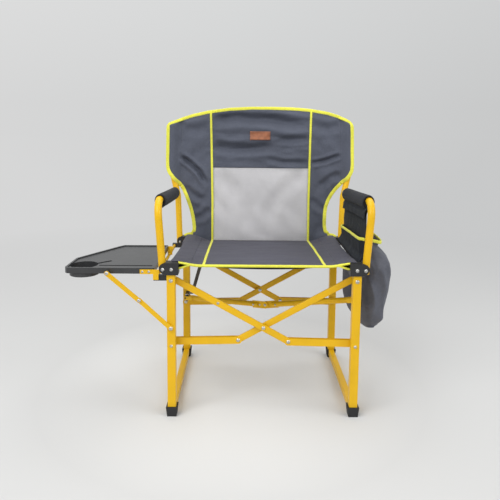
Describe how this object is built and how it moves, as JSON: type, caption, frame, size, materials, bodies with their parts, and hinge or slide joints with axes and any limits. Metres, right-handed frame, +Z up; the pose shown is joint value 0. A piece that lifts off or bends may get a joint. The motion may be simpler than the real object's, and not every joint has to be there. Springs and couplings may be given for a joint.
{
  "type": "folding director chair",
  "caption": "Folding director chair with scissor frame, sling seat and back, arm pads, drop-down side table with cup holder and a side organiser bag.",
  "frame": {"origin": "on the floor, under the middle of the whole outline, with the side table up and the bag on", "axes": "+Z up, -Y the way a sitter faces, +X towards the sitter's left, the side with the bag; the table is on -X"},
  "size_m": [0.978, 0.5412, 0.9337],
  "materials": {
    "frame_yellow": "satin powder coat",
    "black_plastic": "moulded, fine grain",
    "foot_rubber": "matt rubber",
    "zinc_steel": "zinc plated",
    "table_plastic": "moulded, satin",
    "slate_fabric": "woven polyester oxford",
    "pad_fabric": "woven polyester over foam",
    "bag_fabric": "woven polyester oxford",
    "grey_mesh": "open polyester mesh",
    "lime_piping": "folded binding tape",
    "label_leather": "blank tab"
  },
  "bodies": {
    "left_side": {"left_front_leg": "frame_yellow", "left_front_foot": "foot_rubber", "left_front_bracket": "black_plastic", "left_rear_leg": "frame_yellow", "left_rear_foot": "foot_rubber", "left_rear_bracket": "black_plastic", "left_seat_rail": "frame_yellow", "left_floor_rail": "frame_yellow", "left_arm_tube": "frame_yellow", "left_arm_pad": "pad_fabric", "left_back_upright": "frame_yellow", "left_frame_bolts": "zinc_steel", "seat_cover": "slate_fabric", "back_cover": "slate_fabric", "brace_rear_bracket": "black_plastic", "brace_rear_pin": "zinc_steel", "table_hinge_saddles": "black_plastic", "stay_leg_bolt": "zinc_steel"},
    "bars_a": {"front_bar_a": "frame_yellow", "rear_bar_a": "frame_yellow", "crossing_bolts": "zinc_steel", "bar_end_bolts_right": "zinc_steel"},
    "bars_b": {"front_bar_b": "frame_yellow", "rear_bar_b": "frame_yellow", "bar_end_bolts_left": "zinc_steel"},
    "links_right": {"front_link_right": "frame_yellow", "rear_link_right": "frame_yellow", "link_end_bolts_right": "zinc_steel"},
    "links_left": {"front_link_left": "frame_yellow", "rear_link_left": "frame_yellow", "link_end_bolts_left": "zinc_steel"},
    "right_side": {"right_front_leg": "frame_yellow", "right_front_foot": "foot_rubber", "right_front_bracket": "black_plastic", "right_rear_leg": "frame_yellow", "right_rear_foot": "foot_rubber", "right_rear_bracket": "black_plastic", "right_seat_rail": "frame_yellow", "right_floor_rail": "frame_yellow", "right_arm_tube": "frame_yellow", "right_arm_pad": "pad_fabric", "right_back_upright": "frame_yellow", "right_frame_bolts": "zinc_steel", "organiser_panel": "bag_fabric", "side_bag": "bag_fabric", "brace_front_bracket": "black_plastic", "brace_front_pin": "zinc_steel"},
    "brace_rear_swivel": {"brace_rear_swivel": "black_plastic"},
    "brace_rear_arm": {"brace_rear_arm": "frame_yellow", "brace_rear_rivets": "zinc_steel"},
    "brace_front_swivel": {"brace_front_swivel": "black_plastic"},
    "brace_front_arm": {"brace_front_arm": "frame_yellow", "brace_front_rivets": "zinc_steel"},
    "table": {"table_top": "table_plastic", "table_frame": "frame_yellow", "table_rivets": "zinc_steel"},
    "stay_lower": {"table_stay_lower": "frame_yellow", "table_stay_bolt": "zinc_steel"},
    "stay_upper": {"table_stay_upper": "frame_yellow", "stay_top_rivet": "zinc_steel"}
  },
  "joints": [
    {"name": "frame_fold", "type": "hinge", "parent": "left_side", "child": "bars_a", "pos_m": [-0.1795, -0.2447, 0.418], "axis": [0, 1, 0], "range_deg": [0, 48.78], "deforming": ["seat_cover", "back_cover"]},
    {"name": "bars_b_turn", "type": "hinge", "parent": "bars_a", "child": "bars_b", "pos_m": [0.093, -0.2447, 0.26571], "axis": [0, 1, 0], "range_deg": [-97.57, 0]},
    {"name": "right_side_turn", "type": "hinge", "parent": "bars_b", "child": "right_side", "pos_m": [0.3655, -0.2447, 0.418], "axis": [0, 1, 0], "range_deg": [0, 48.79]},
    {"name": "links_right_turn", "type": "hinge", "parent": "bars_a", "child": "links_right", "pos_m": [0.16851, -0.2447, 0.22351], "axis": [0, 1, 0], "range_deg": [-126.18, 0]},
    {"name": "links_left_turn", "type": "hinge", "parent": "bars_b", "child": "links_left", "pos_m": [0.01749, -0.2447, 0.22351], "axis": [0, 1, 0], "range_deg": [0, 126.18]},
    {"name": "brace_rear_swing", "type": "hinge", "parent": "left_side", "child": "brace_rear_swivel", "pos_m": [-0.173, 0.1213, 0.243], "axis": [0, 0, 1], "range_deg": [-36.78, 0]},
    {"name": "brace_rear_lift", "type": "hinge", "parent": "brace_rear_swivel", "child": "brace_rear_arm", "pos_m": [-0.173, 0.1213, 0.243], "axis": [-0.4968, -0.8679, 0], "range_deg": [0, 67.5]},
    {"name": "brace_front_swing", "type": "hinge", "parent": "right_side", "child": "brace_front_swivel", "pos_m": [0.379, -0.1947, 0.345], "axis": [0, 0, 1], "range_deg": [-36.78, 0]},
    {"name": "brace_front_lift", "type": "hinge", "parent": "brace_front_swivel", "child": "brace_front_arm", "pos_m": [0.379, -0.1947, 0.345], "axis": [0.4968, 0.8679, 0], "range_deg": [0, 52.73]},
    {"name": "table_fold", "type": "hinge", "parent": "left_side", "child": "table", "pos_m": [-0.223, -0.2447, 0.425], "axis": [0, -1, 0], "range_deg": [0, 90]},
    {"name": "stay_lower_turn", "type": "hinge", "parent": "left_side", "child": "stay_lower", "pos_m": [-0.1795, -0.2632, 0.2765], "axis": [0, 1, 0], "range_deg": [0, 38.49]},
    {"name": "stay_upper_turn", "type": "hinge", "parent": "stay_lower", "child": "stay_upper", "pos_m": [-0.27083, -0.2647, 0.36156], "axis": [0, 1, 0], "range_deg": [-149.55, 0]}
  ],
  "couplings": [
    {"joint": "bars_b_turn", "follows": "frame_fold", "ratio": -2},
    {"joint": "right_side_turn", "follows": "frame_fold", "ratio": 1},
    {"joint": "links_right_turn", "follows": "frame_fold", "ratio": -2.5865},
    {"joint": "links_left_turn", "follows": "frame_fold", "ratio": 2.5865},
    {"joint": "brace_rear_swing", "follows": "frame_fold", "ratio": -0.75379},
    {"joint": "brace_rear_lift", "follows": "frame_fold", "ratio": 1.3835},
    {"joint": "brace_front_swing", "follows": "frame_fold", "ratio": -0.75379},
    {"joint": "brace_front_lift", "follows": "frame_fold", "ratio": 1.0807},
    {"joint": "stay_lower_turn", "follows": "table_fold", "ratio": 0.42761},
    {"joint": "stay_upper_turn", "follows": "table_fold", "ratio": -1.6616}
  ]
}
